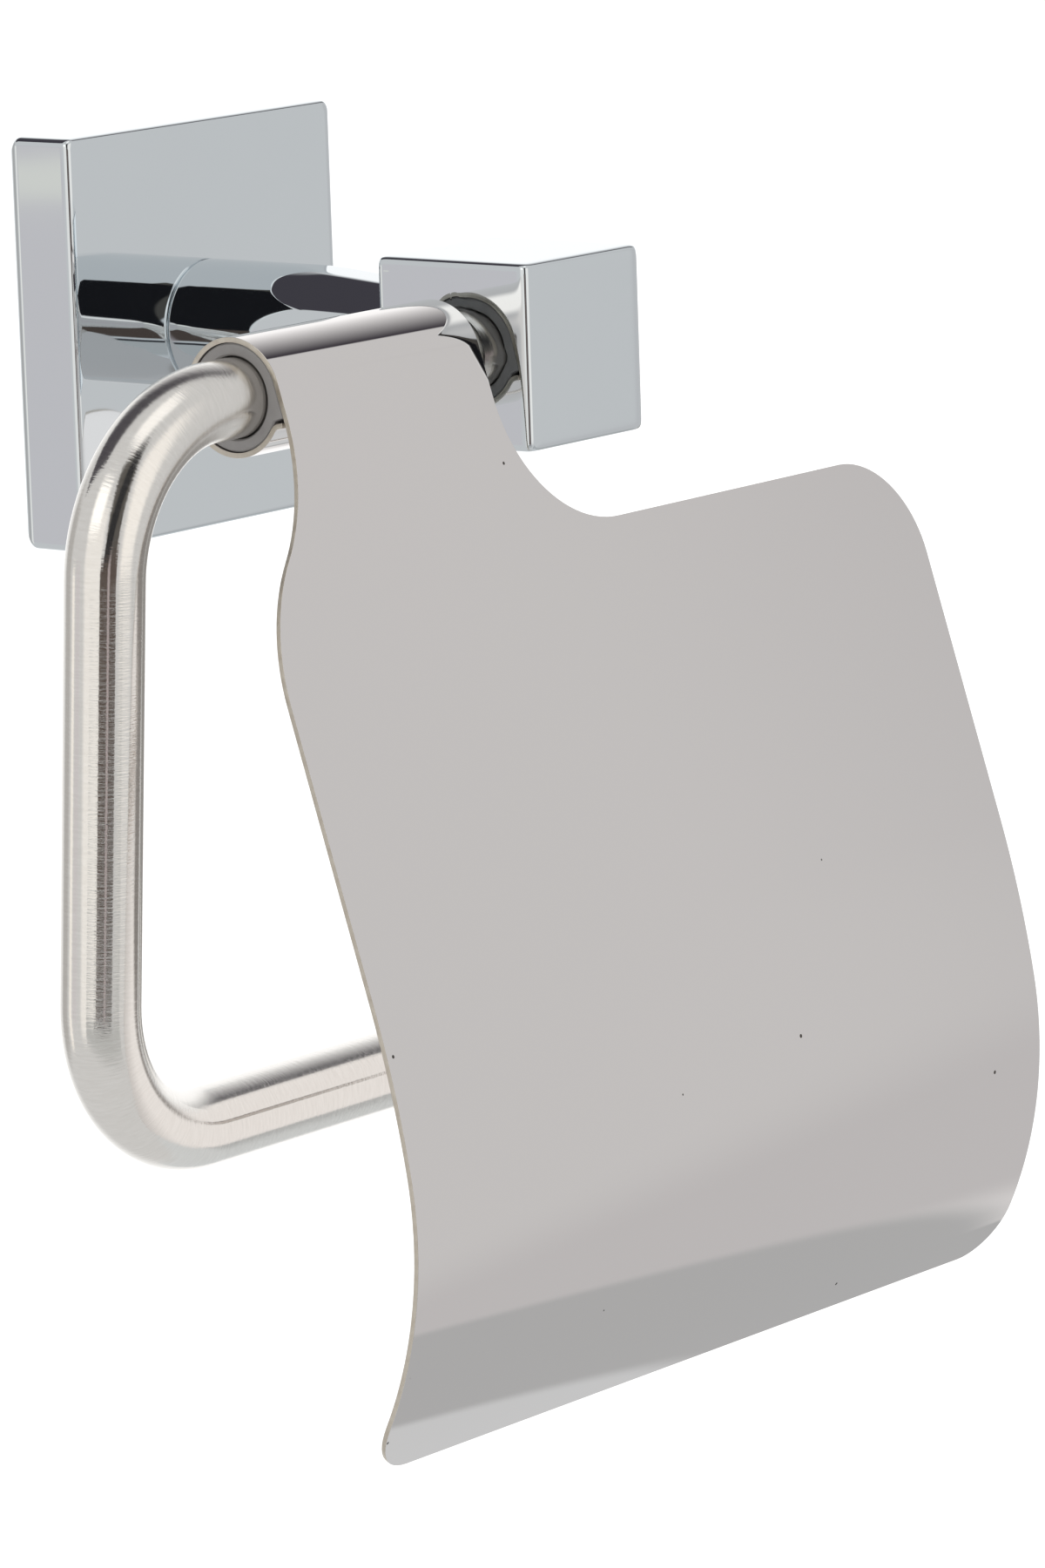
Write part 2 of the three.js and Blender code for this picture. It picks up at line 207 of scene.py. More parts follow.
def addNode(tree, kind, **values):
    node = tree.nodes.new(kind)
    for key, value in values.items():
        setattr(node, key, value)
    return node


def mathNode(tree, operation, *inputs):
    node = addNode(tree, "ShaderNodeMath", operation=operation)
    for i, value in enumerate(inputs):
        if isinstance(value, (int, float)):
            node.inputs[i].default_value = value
        else:
            tree.links.new(value, node.inputs[i])
    return node.outputs[0]


def newGroup(name, inputs, outputs):
    group = bpy.data.node_groups.new(name, "ShaderNodeTree")
    for socket, kind in inputs:
        group.interface.new_socket(socket, in_out="INPUT", socket_type=kind)
    for socket, kind in outputs:
        group.interface.new_socket(socket, in_out="OUTPUT", socket_type=kind)
    source = group.nodes.new("NodeGroupInput")
    result = group.nodes.new("NodeGroupOutput")
    return group, source, result


def placeGroup(tree, group, **values):
    node = addNode(tree, "ShaderNodeGroup", node_tree=group)
    for key, value in values.items():
        node.inputs[key].default_value = value
    return node


def layer(tree, below, factor, colour):
    # a colour laid over another colour or socket; 6, 7 and 2 are the mix node's colour sockets
    mix = addNode(tree, "ShaderNodeMix", data_type="RGBA")
    tree.links.new(factor, mix.inputs["Factor"])
    if isinstance(below, tuple):
        mix.inputs[6].default_value = (*below, 1)
    else:
        tree.links.new(below, mix.inputs[6])
    mix.inputs[7].default_value = (*colour, 1)
    return mix.outputs[2]


# studio: a world of flat panels round the object, which the polished metal mirrors

studio = {
    "room": (0.66, 0.66, 0.66),
    # bearing, height and roll of the panel's middle, half width, half height, edge softness, colour;
    # all angles in degrees, the bearing turning left from +X; the first lies under the backdrop's
    # glow, and each of the rest over the ones before it
    "panels": [
        ("ceilingGap", 46.1, 47.0, 15.5, 52.5, 23.3, 2.0, (0.06, 0.055, 0.066)),
        ("rightShade", -23, -8, 0, 12.5, 26, 5, (0.60, 0.595, 0.60)),
        ("leftSoftbox", -176, 2, 0, 24, 30, 14, (0.93, 0.91, 0.88)),
        ("leftLamp", 174, 32, 0, 15, 13, 12, (1.35, 1.33, 1.28)),
        ("leftDip", 97, -4, 0, 13, 20, 12, (0.48, 0.47, 0.46)),
        ("sidePaper", 139, -7, 0, 7, 9, 4, (0.65, 0.625, 0.64)),
        ("sideWindow", 138.4, -5.94, 0, 2.5, 0.15, 0.04, (0.80, 0.79, 0.73)),
        ("stripLight", 123, -14, 0, 5, 12, 4, (0.98, 0.95, 0.90)),
        ("frontSoftbox", -81, 10, 0, 19, 24, 14, (1.02, 0.99, 0.95)),
        ("highSoftbox", -95, 73, 0, 19, 13, 5, (1.15, 1.13, 1.10)),
        ("rightDip", 8, -20, 0, 15, 14, 9, (0.30, 0.29, 0.28)),
        ("floorFront", -135, -31, 0, 45, 9, 4, (0.51, 0.515, 0.51)),
        ("floorLine", -136, -22, 0, 24, 1.3, 1, (0.05, 0.05, 0.055)),
        ("cameraShade", -128.5, 25, 0, 16.5, 29, 1.2, (0.085, 0.078, 0.07)),
        ("cameraFlag", -129.5, 23, -23, 8.2, 31, 1.2, (0.012, 0.012, 0.014)),
        ("cameraSkirt", -131.5, -9.3, 0, 22.5, 9.2, 2, (0.09, 0.068, 0.058)),
        ("cameraGlint", -130, -10, 0, 3, 9.5, 3, (0.42, 0.36, 0.36)),
        ("lowBand", -27.6, -43.3, -26.7, 34, 12.2, 0.6, (0.485, 0.495, 0.50)),
        ("lowBandEnd", 7, -46.5, 0, 12, 11, 0.6, (0.485, 0.495, 0.50)),
        ("footGlow", -8, -51.5, 0, 27, 12, 0.6, (0.67, 0.69, 0.70)),
    ],
    # the lit backdrop: a round glow that fades outwards
    "backdrop": {"bearing": 30, "height": -5, "full": 26, "faded": 58, "colour": (1.12, 1.12, 1.12)},
}


def towards(bearing, height):
    turn, rise = math.radians(bearing), math.radians(height)
    return Vector((math.cos(turn) * math.cos(rise), math.sin(turn) * math.cos(rise), math.sin(rise)))


def panelMask():
    # 1 inside a flat rectangle seen from the object, falling softly to 0 at its edges
    sockets = [
        ("Direction", "NodeSocketVector"),
        ("Aim", "NodeSocketVector"),
        ("Half Width", "NodeSocketFloat"),
        ("Half Height", "NodeSocketFloat"),
        ("Softness", "NodeSocketFloat"),
    ]
    group, source, result = newGroup("panelMask", sockets, [("Mask", "NodeSocketFloat")])
    facing = addNode(group, "ShaderNodeVectorRotate", rotation_type="EULER_XYZ", invert=True)
    group.links.new(source.outputs["Direction"], facing.inputs["Vector"])
    group.links.new(source.outputs["Aim"], facing.inputs["Rotation"])
    split = addNode(group, "ShaderNodeSeparateXYZ")
    group.links.new(facing.outputs[0], split.inputs[0])
    ahead = mathNode(group, "MAXIMUM", split.outputs[0], 0.001)  # never zero, as it divides
    masks = [mathNode(group, "GREATER_THAN", split.outputs[0], 0.0)]
    for part, half in ((1, "Half Width"), (2, "Half Height")):
        reach = mathNode(group, "ABSOLUTE", mathNode(group, "DIVIDE", split.outputs[part], ahead))
        inside = mathNode(group, "SUBTRACT", source.outputs[half], reach)
        share = mathNode(group, "DIVIDE", inside, source.outputs["Softness"])
        soft = addNode(group, "ShaderNodeMapRange", interpolation_type="SMOOTHSTEP")
        group.links.new(mathNode(group, "ADD", share, 0.5), soft.inputs["Value"])
        masks.append(soft.outputs[0])
    both = mathNode(group, "MULTIPLY", masks[0], masks[1])
    group.links.new(mathNode(group, "MULTIPLY", both, masks[2]), result.inputs[0])
    return group


def addPanel(tree, direction, below, panel, mask):
    name, bearing, height, roll, halfWidth, halfHeight, softness, colour = panel
    aim = tuple(math.radians(angle) for angle in (roll, -height, bearing))
    node = placeGroup(tree, mask, **{
        "Aim": aim,
        "Half Width": math.tan(math.radians(halfWidth)),
        "Half Height": math.tan(math.radians(halfHeight)),
        "Softness": math.radians(softness),
    })
    node.label = name
    tree.links.new(direction, node.inputs["Direction"])
    return layer(tree, below, node.outputs[0], colour)


def addBackdrop(tree, direction, below):
    glow = studio["backdrop"]
    along = addNode(tree, "ShaderNodeVectorMath", operation="DOT_PRODUCT")
    tree.links.new(direction, along.inputs[0])
    along.inputs[1].default_value = towards(glow["bearing"], glow["height"])
    away = mathNode(tree, "ARCCOSINE", along.outputs["Value"])
    fade = addNode(tree, "ShaderNodeMapRange")
    tree.links.new(away, fade.inputs["Value"])
    fade.inputs["From Min"].default_value = math.radians(glow["faded"])
    fade.inputs["From Max"].default_value = math.radians(glow["full"])
    return layer(tree, below, fade.outputs[0], glow["colour"])


def buildStudio():
    world = bpy.data.worlds.new("studio")
    bpy.context.scene.world = world
    world.use_nodes = True
    tree = world.node_tree
    tree.nodes.clear()
    direction = addNode(tree, "ShaderNodeTexCoord").outputs["Generated"]
    mask = panelMask()
    colour = addPanel(tree, direction, studio["room"], studio["panels"][0], mask)
    colour = addBackdrop(tree, direction, colour)
    for panel in studio["panels"][1:]:
        colour = addPanel(tree, direction, colour, panel, mask)
    seen = addNode(tree, "ShaderNodeLightPath")
    colour = layer(tree, colour, seen.outputs["Is Camera Ray"], (1, 1, 1))
    light = addNode(tree, "ShaderNodeBackground")
    tree.links.new(colour, light.inputs["Color"])
    output = addNode(tree, "ShaderNodeOutputWorld")
    tree.links.new(light.outputs[0], output.inputs[0])


floorPaper = {
    "size": 14,  # metres
    "cells": 8,
    "drop": 0.18,  # metres below the object, which hangs clear of it
    "colour": (0.7, 0.7, 0.7),
    "roughness": 0.9,
    "glow": 0.8,
}


def addFloor():
    low = cadBounds[0]
    cells = floorPaper["cells"]
    bm = bmesh.new()
    bmesh.ops.create_grid(bm, x_segments=cells, y_segments=cells, size=floorPaper["size"])
    bmesh.ops.translate(bm, verts=bm.verts, vec=(0, 0, low.z - floorPaper["drop"]))
    material = bpy.data.materials.new("palePaper")
    material.use_nodes = True
    shader = material.node_tree.nodes["Principled BSDF"]
    shader.inputs["Base Color"].default_value = (*floorPaper["colour"], 1)
    shader.inputs["Roughness"].default_value = floorPaper["roughness"]
    shader.inputs["Emission Color"].default_value = (1, 1, 1, 1)
    shader.inputs["Emission Strength"].default_value = floorPaper["glow"]
    floor = linkMesh("floor", bm, material)
    floor.visible_glossy = False


buildStudio()
addFloor()
bpy.context.scene.view_settings.view_transform = "Standard"
print("studio set")


# material effects

def smudgeGroup():
    # slow patches of handling and polish, as a value round zero and a height
    sockets = [("Scale", "NodeSocketFloat"), ("Detail", "NodeSocketFloat")]
    outputs = [("Patch", "NodeSocketFloat"), ("Height", "NodeSocketFloat")]
    group, source, result = newGroup("smudge", sockets, outputs)
    place = addNode(group, "ShaderNodeTexCoord")
    noise = addNode(group, "ShaderNodeTexNoise")
    group.links.new(place.outputs["Object"], noise.inputs["Vector"])
    group.links.new(source.outputs["Scale"], noise.inputs["Scale"])
    group.links.new(source.outputs["Detail"], noise.inputs["Detail"])
    group.links.new(mathNode(group, "SUBTRACT", noise.outputs[0], 0.5), result.inputs["Patch"])
    group.links.new(noise.outputs[0], result.inputs["Height"])
    return group


def grainGroup():
    # fine lines: the place is squeezed along two axes and left fine along the third
    sockets = [
        ("Place", "NodeSocketVector"),
        ("Fineness", "NodeSocketFloat"),
        ("Squeeze", "NodeSocketFloat"),
    ]
    group, source, result = newGroup("grain", sockets, [("Line", "NodeSocketFloat")])
    scale = addNode(group, "ShaderNodeCombineXYZ")
    group.links.new(source.outputs["Squeeze"], scale.inputs[0])
    group.links.new(source.outputs["Squeeze"], scale.inputs[1])
    scale.inputs[2].default_value = 1
    drawn = addNode(group, "ShaderNodeVectorMath", operation="MULTIPLY")
    group.links.new(source.outputs["Place"], drawn.inputs[0])
    group.links.new(scale.outputs[0], drawn.inputs[1])
    noise = addNode(group, "ShaderNodeTexNoise")
    noise.inputs["Detail"].default_value = 3
    noise.inputs["Roughness"].default_value = 0.6
    group.links.new(drawn.outputs[0], noise.inputs["Vector"])
    group.links.new(source.outputs["Fineness"], noise.inputs["Scale"])
    group.links.new(mathNode(group, "SUBTRACT", noise.outputs[0], 0.5), result.inputs[0])
    return group


def speckGroup():
    # a few tiny pits, where the middle of a cell happens to lie on the surface
    sockets = [("Scale", "NodeSocketFloat"), ("Size", "NodeSocketFloat")]
    group, source, result = newGroup("speck", sockets, [("Pit", "NodeSocketFloat")])
    place = addNode(group, "ShaderNodeTexCoord")
    cells = addNode(group, "ShaderNodeTexVoronoi")
    group.links.new(place.outputs["Object"], cells.inputs["Vector"])
    group.links.new(source.outputs["Scale"], cells.inputs["Scale"])
    near = mathNode(group, "LESS_THAN", cells.outputs["Distance"], source.outputs["Size"])
    group.links.new(near, result.inputs[0])
    return group


smudge = smudgeGroup()
grain = grainGroup()
speck = speckGroup()


def newMaterial(name, finish, metallic):
    material = bpy.data.materials.new(name)
    material.use_nodes = True
    shader = material.node_tree.nodes["Principled BSDF"]
    shader.inputs["Base Color"].default_value = (*finish["light"], 1)
    shader.inputs["Metallic"].default_value = metallic
    shader.inputs["Roughness"].default_value = finish["roughness"]
    return material, material.node_tree, shader


def tint(tree, shader, factor, low, high):
    colour = layer(tree, low, factor, high)
    tree.links.new(colour, shader.inputs["Base Color"])
    return colour


def roughen(tree, shader, value, amount, base):
    scaled = mathNode(tree, "MULTIPLY_ADD", value, amount, base)
    limited = mathNode(tree, "MAXIMUM", scaled, 0.0)
    tree.links.new(limited, shader.inputs["Roughness"])


def emboss(tree, shader, height, distance):
    bump = addNode(tree, "ShaderNodeBump")
    bump.inputs["Strength"].default_value = 1.0
    bump.inputs["Distance"].default_value = distance
    tree.links.new(height, bump.inputs["Height"])
    tree.links.new(bump.outputs[0], shader.inputs["Normal"])


def addPatches(tree, shader, finish):
    # slow patches between two colours, with the roughness drifting along with them
    patches = placeGroup(tree, smudge, **finish["patches"])
    roughen(tree, shader, patches.outputs["Patch"], finish["smudges"], finish["roughness"])
    return tint(tree, shader, patches.outputs["Height"], finish["dark"], finish["light"])


def addWaves(tree, shader, finish):
    waves = placeGroup(tree, smudge, **finish["waves"])
    emboss(tree, shader, waves.outputs["Height"], finish["waveDepth"])


# in each finish the smudges are the roughness added by handling, and the wave depth is in metres

chromeFinish = {
    "light": (0.755, 0.795, 0.82),
    "dark": (0.735, 0.775, 0.80),
    "roughness": 0.03,
    "smudges": 0.03,
    "patches": {"Scale": 60.0, "Detail": 4.0},
    "waves": {"Scale": 90.0, "Detail": 1.0},  # the plating's slow unevenness
    "waveDepth": 0.000004,
}


def makeChrome():
    material, tree, shader = newMaterial("chromePlate", chromeFinish, 1)
    addPatches(tree, shader, chromeFinish)
    addWaves(tree, shader, chromeFinish)
    return material


satinFinish = {
    "dark": (0.79, 0.762, 0.722),
    "light": (0.92, 0.90, 0.868),
    "roughness": 0.055,
    "metallic": 0.97,  # the rest is the dull scatter of fine scratches
    "bendRoughness": 0.13,  # added where the bar was bent beside the cover
    "bendStart": 0.068,  # metres along the bar where that wear starts to fade
    "bendEnd": 0.086,
    "grain": {"Fineness": 4200.0, "Squeeze": 0.12},
    "grainRoughness": 0.12,
    "grainDepth": 0.00002,
}


def makeSatinSteel():
    # the grain runs round the bar, laid out on the bar before it was bent
    material, tree, shader = newMaterial("satinSteel", satinFinish, satinFinish["metallic"])
    unbent = addNode(tree, "ShaderNodeAttribute", attribute_name="unbent")
    lines = placeGroup(tree, grain, **satinFinish["grain"])
    tree.links.new(unbent.outputs["Vector"], lines.inputs["Place"])
    line = lines.outputs["Line"]
    level = mathNode(tree, "ADD", line, 0.5)
    tint(tree, shader, level, satinFinish["dark"], satinFinish["light"])
    split = addNode(tree, "ShaderNodeSeparateXYZ")
    tree.links.new(unbent.outputs["Vector"], split.inputs[0])
    wear = addNode(tree, "ShaderNodeMapRange", interpolation_type="SMOOTHSTEP")
    tree.links.new(split.outputs[2], wear.inputs["Value"])
    wear.inputs["From Min"].default_value = satinFinish["bendEnd"]
    wear.inputs["From Max"].default_value = satinFinish["bendStart"]
    worn, plain = satinFinish["bendRoughness"], satinFinish["roughness"]
    base = mathNode(tree, "MULTIPLY_ADD", wear.outputs[0], worn, plain)
    roughen(tree, shader, line, satinFinish["grainRoughness"], base)
    emboss(tree, shader, line, satinFinish["grainDepth"])
    return material


sheetFinish = {
    "light": (0.82, 0.783, 0.772),
    "dark": (0.805, 0.78, 0.765),
    "roughness": 0.025,
    "smudges": 0.02,
    "patches": {"Scale": 14.0, "Detail": 3.0},
    "waves": {"Scale": 22.0, "Detail": 0.0},
    "waveDepth": 0.000006,
    "pits": {"Scale": 95.0, "Size": 0.024},
    "pitColour": (0.10, 0.09, 0.08),
}


def makeSheetSteel():
    material, tree, shader = newMaterial("brightSteel", sheetFinish, 1)
    base = addPatches(tree, shader, sheetFinish)
    pits = placeGroup(tree, speck, **sheetFinish["pits"])
    pitted = layer(tree, base, pits.outputs["Pit"], sheetFinish["pitColour"])
    tree.links.new(pitted, shader.inputs["Base Color"])
    addWaves(tree, shader, sheetFinish)
    return material


edgeFinish = {
    "dark": (0.52, 0.46, 0.38),
    "light": (0.80, 0.76, 0.68),
    "roughness": 0.42,
    "smudges": 0.3,
    "patches": {"Scale": 900.0, "Detail": 3.0},
}


def makeCutEdge():
    material, tree, shader = newMaterial("cutEdge", edgeFinish, 1)
    addPatches(tree, shader, edgeFinish)
    return material


zincFinish = {
    "dark": (0.50, 0.52, 0.53),
    "light": (0.66, 0.67, 0.66),
    "roughness": 0.38,
    "smudges": 0.25,
    "patches": {"Scale": 260.0, "Detail": 5.0},
    "waves": {"Scale": 260.0, "Detail": 5.0},
    "waveDepth": 0.00002,
}


def makeZincSteel():
    material, tree, shader = newMaterial("zincSteel", zincFinish, 1)
    addPatches(tree, shader, zincFinish)
    addWaves(tree, shader, zincFinish)
    return material


plasticFinish = {
    "dark": (0.25, 0.24, 0.235),
    "light": (0.34, 0.33, 0.325),
    "roughness": 0.42,
    "smudges": 0.2,
    "patches": {"Scale": 700.0, "Detail": 4.0},
    "waves": {"Scale": 700.0, "Detail": 4.0},
    "waveDepth": 0.00001,
}


def makeGreyPlastic():
    material, tree, shader = newMaterial("greyNylon", plasticFinish, 0)
    addPatches(tree, shader, plasticFinish)
    addWaves(tree, shader, plasticFinish)
    return material


chrome = makeChrome()
satinSteel = makeSatinSteel()
sheetSteel = makeSheetSteel()
cutEdge = makeCutEdge()
zincSteel = makeZincSteel()
greyPlastic = makeGreyPlastic()
print("materials made")


# rosette

rosette = {
    "corner": 1.0,
    "cornerSteps": 8,
    "backEdge": 2.3,
    "backSteps": 10,
    "backSpread": 0.6,  # how fast the corner rounds out towards the wall
    "softEdge": 2.4,  # how far the buffed front edge falls away, on both sides of the corner
    "softSteps": 24,
    "crispness": 7,  # higher is a squarer front edge
    "sideWall": 2.4,
    "frontWall": 2.6,
    "innerCorner": 0.6,
    "grubRadius": 1.8,
    "grubDepth": 3.2,
}


def squareRing(half, corner, y):
    points = []
    steps = rosette["cornerSteps"]
    for quarter in range(4):
        for i in range(steps + 1):
            angle = math.pi / 2 * (quarter + i / steps)
            signX = 1 if quarter in (0, 3) else -1
            signZ = 1 if quarter in (0, 1) else -1
            x = signX * (half - corner) + corner * math.cos(angle)
            z = signZ * (half - corner) + corner * math.sin(angle)
            points.append((x, y, z))
    return points


def buildRosette():
    low, high = boxMm("wall_plate")
    half = high.x
    front, back = low.y, high.y
    inner, innerCorner = half - rosette["sideWall"], rosette["innerCorner"]
    corner = rosette["corner"]
    rings = [squareRing(inner, innerCorner, y) for y in (front + rosette["frontWall"], back)]
    for i in range(rosette["backSteps"] + 1):
        turn = math.pi / 2 * i / rosette["backSteps"]
        inset = rosette["backEdge"] * (1 - math.sin(turn))
        depth = rosette["backEdge"] * (1 - math.cos(turn))
        spread = inset * rosette["backSpread"]
        rings.append(squareRing(half - inset, corner + spread, back - depth))
    soft, power = rosette["softEdge"], 2 / rosette["crispness"]
    for i in range(rosette["softSteps"] + 1):
        turn = math.pi / 2 * i / rosette["softSteps"]
        inset = soft * (1 - math.cos(turn) ** power)
        depth = soft * (1 - math.sin(turn) ** power)
        rings.append(squareRing(half - inset, corner, front + depth))
    piece = meshPiece("wallPlateShell", loft(rings), chrome, "post", "wall_plate")
    grubLow, grubHigh = boxMm("plate_grub_screw")
    middleY = (grubLow.y + grubHigh.y) / 2
    foot = (0, middleY, low.z - overshoot)
    top = (0, middleY, low.z + rosette["grubDepth"])
    combine(piece, roundCutter(foot, top, rosette["grubRadius"]), "DIFFERENCE")
    weightNormals(piece)


# stem

stemShape = {
    "flats": 8,
    "flatsAcross": 12.2,  # across the flats where the stem meets the block
    "taper": 0.096,
    "flatCorner": 34,  # higher is a sharper corner between two flats
    "blend": 0.10,  # buffed edge where a flat runs out into the round
    "blendWithin": 3,  # further apart than this, the nearer of flat and round is taken as it is
    "flatMargin": 1,  # how far before the flats start the rings lie closer
    "gap": 0.02,  # clear of the rosette and of the block
    "footEdge": 0.5,
    "footSteps": 8,
    "roundSteps": 4,
    "flatSteps": 110,
    "sides": 384,
    "sharpAngle": 50,
}


def flatReach(angle):
    # how far out the softened flats lie, for a size of 1
    power, flats = stemShape["flatCorner"], stemShape["flats"]
    total = 0
    for i in range(flats):
        total += max(math.cos(angle - 2 * math.pi * i / flats), 0) ** power
    return total ** (-1 / power)


def stemRing(y, front, radius, foot):
    size = stemShape["flatsAcross"] / 2 + stemShape["taper"] * (y - front)
    blend = stemShape["blend"]
    ring = []
    for i in range(stemShape["sides"]):
        angle = 2 * math.pi * i / stemShape["sides"]
        flat = size * flatReach(angle)
        gap = flat - radius
        if abs(gap) < stemShape["blendWithin"]:
            reach = (flat + radius - math.sqrt(gap * gap + blend * blend)) / 2
        else:
            reach = min(flat, radius)
        reach -= foot
        ring.append((reach * math.cos(angle), y, reach * math.sin(angle)))
    return ring


def buildStem():
    radius = boxMm("stem")[1].x
    back = boxMm("wall_plate")[0].y + stemShape["gap"]
    front = boxMm("block")[1].y - stemShape["gap"]
    edge = stemShape["footEdge"]
    rings = []
    for i in range(stemShape["footSteps"] + 1):
        turn = math.pi / 2 * i / stemShape["footSteps"]
        y = back - edge * (1 - math.cos(turn))
        rings.append(stemRing(y, front, radius, edge * (1 - math.sin(turn))))
    start = back - edge
    flatLength = (radius - stemShape["flatsAcross"] / 2) / stemShape["taper"]
    flatStart = flatLength + front + stemShape["flatMargin"]
    for first, last, steps in ((start, flatStart, "roundSteps"), (flatStart, front, "flatSteps")):
        count = stemShape[steps]
        for i in range(1, count + 1):
            rings.append(stemRing(first + (last - first) * i / count, front, radius, 0))
    piece = meshPiece("stemBody", loft(rings), chrome, "post", "stem")
    smoothByAngle(piece, stemShape["sharpAngle"])


# block

blockShape = {
    "crispness": 30,  # higher is a squarer cube; the buffed faces fall away near their edges
    "cells": 22,
    "weld": 1e-7,  # metres, joins the six faces
    "bore": 4.8,
    "boreSides": 96,
    "boreBeyondStud": 0.6,
    "grubRadius": 2.2,
    "grubX": -4.0,
    "grubDepth": 8,
    "sharpAngle": 35,
}


def blockMesh(middle, half):
    # a superquadric cube, its steps crowded towards the edges
    power = blockShape["crispness"]
    cells = blockShape["cells"]
    steps = [math.tan(math.pi / 4 * i / cells) ** (2 / power) for i in range(cells + 1)]
    steps = [-value for value in reversed(steps[1:])] + steps
    bm = bmesh.new()
    for axis in range(3):
        for side in (-1, 1):
            rows = []
            for first in steps:
                row = []
                for second in steps:
                    point = [first, second]
                    point.insert(axis, side)
                    scale = sum(abs(value) ** power for value in point) ** (-1 / power)
                    row.append(bm.verts.new((middle + Vector(point) * (scale * half)) * mm))
                rows.append(row)
            for upper, lower in zip(rows, rows[1:]):
                for i in range(len(steps) - 1):
                    bm.faces.new((upper[i], upper[i + 1], lower[i + 1], lower[i]))
    bmesh.ops.remove_doubles(bm, verts=bm.verts, dist=blockShape["weld"])
    return bm


def buildBlock():
    low, high = boxMm("block")
    middle = (low + high) / 2
    half = (high.x - low.x) / 2
    piece = meshPiece("blockBody", blockMesh(middle, half), chrome, "post", "block")
    mouth = (low.x - overshoot, middle.y, 0)
    boreEnd = (boxMm("block_stud")[1].x + blockShape["boreBeyondStud"], middle.y, 0)
    bore = roundCutter(mouth, boreEnd, blockShape["bore"], blockShape["boreSides"])
    combine(piece, bore, "DIFFERENCE")
    foot = (blockShape["grubX"], middle.y, low.z - overshoot)
    top = (blockShape["grubX"], middle.y, low.z + blockShape["grubDepth"])
    combine(piece, roundCutter(foot, top, blockShape["grubRadius"]), "DIFFERENCE")
    smoothByAngle(piece, blockShape["sharpAngle"])
    weightNormals(piece)


# roll bar

hinge = Vector(frame["joints"][0]["pos_m"]) / mm
barShape = {
    "radius": 4.65,
    "bend": 18.0,
    "drop": 85.0,
    "lean": 3.85,  # degrees the loop leans out from straight down
    "endEdge": 0.9,
    "beyondStud": 0.3,
    "sides": 72,
    "steps": {"upper": 4, "bend": 24, "leg": 3, "lower": 5, "end": 6},
    "sharpAngle": 30,
}


def aboutHinge(degrees, point):
    turn = math.radians(degrees)
    y = point[1] * math.cos(turn) - point[2] * math.sin(turn)
    z = point[1] * math.sin(turn) + point[2] * math.cos(turn)
    return Vector((point[0], hinge.y + y, hinge.z + z))


def barStations():
    # place, heading (degrees below level, from pointing left), length so far, radius
    low, high = boxMm("arm_rod")
    radius, bend, drop = barShape["radius"], barShape["bend"], barShape["drop"]
    steps = barShape["steps"]
    legX = low.x + radius
    tail = high.x
    start = boxMm("block_stud")[1].x + barShape["beyondStud"]
    arc = bend * math.pi / 2
    upper = start - legX - bend
    stations = []
    for i in range(steps["upper"] + 1):
        gone = upper * i / steps["upper"]
        stations.append((start - gone, 0, 0, gone, radius))
    along = upper
    for i in range(1, steps["bend"] + 1):
        turn = math.pi / 2 * i / steps["bend"]
        x = legX + bend - bend * math.sin(turn)
        z = -bend + bend * math.cos(turn)
        stations.append((x, z, math.degrees(turn), along + arc * i / steps["bend"], radius))
    along += arc
    leg = drop - 2 * bend
    for i in range(1, steps["leg"] + 1):
        gone = leg * i / steps["leg"]
        stations.append((legX, -bend - gone, 90, along + gone, radius))
    along += leg
    for i in range(1, steps["bend"] + 1):
        turn = math.pi / 2 * i / steps["bend"]
        x = legX + bend - bend * math.cos(turn)
        z = -drop + bend - bend * math.sin(turn)
        stations.append((x, z, 90 + math.degrees(turn), along + arc * i / steps["bend"], radius))
    along += arc
    edge = barShape["endEdge"]
    lower = tail - edge - legX - bend
    for i in range(1, steps["lower"] + 1):
        gone = lower * i / steps["lower"]
        stations.append((legX + bend + gone, -drop, 180, along + gone, radius))
    along += lower
    for i in range(1, steps["end"] + 1):
        turn = math.pi / 2 * i / steps["end"]
        gone = edge * math.sin(turn)
        shrunk = radius - edge * (1 - math.cos(turn))
        stations.append((tail - edge + gone, -drop, 180, along + gone, shrunk))
    return stations


def buildRollBar():
    rings, unbent = [], []
    sides = barShape["sides"]
    for x, z, heading, along, radius in barStations():
        turn = math.radians(heading)
        across = Vector((0, 1, 0))
        up = Vector((-math.sin(turn), 0, math.cos(turn)))
        ring = circleRing(Vector((x, 0, z)), radius, across, up, sides)
        rings.append([aboutHinge(barShape["lean"], point) for point in ring])
        for i in range(sides):
            angle = 2 * math.pi * i / sides
            unbent.append((radius * math.cos(angle) * mm, radius * math.sin(angle) * mm, along * mm))
    piece = meshPiece("rollBar", loft(rings), satinSteel, "post", "arm_rod")
    values = piece.data.attributes.new("unbent", "FLOAT_VECTOR", "POINT")
    values.data.foreach_set("vector", [number for point in unbent for number in point])
    smoothByAngle(piece, barShape["sharpAngle"])


# cover

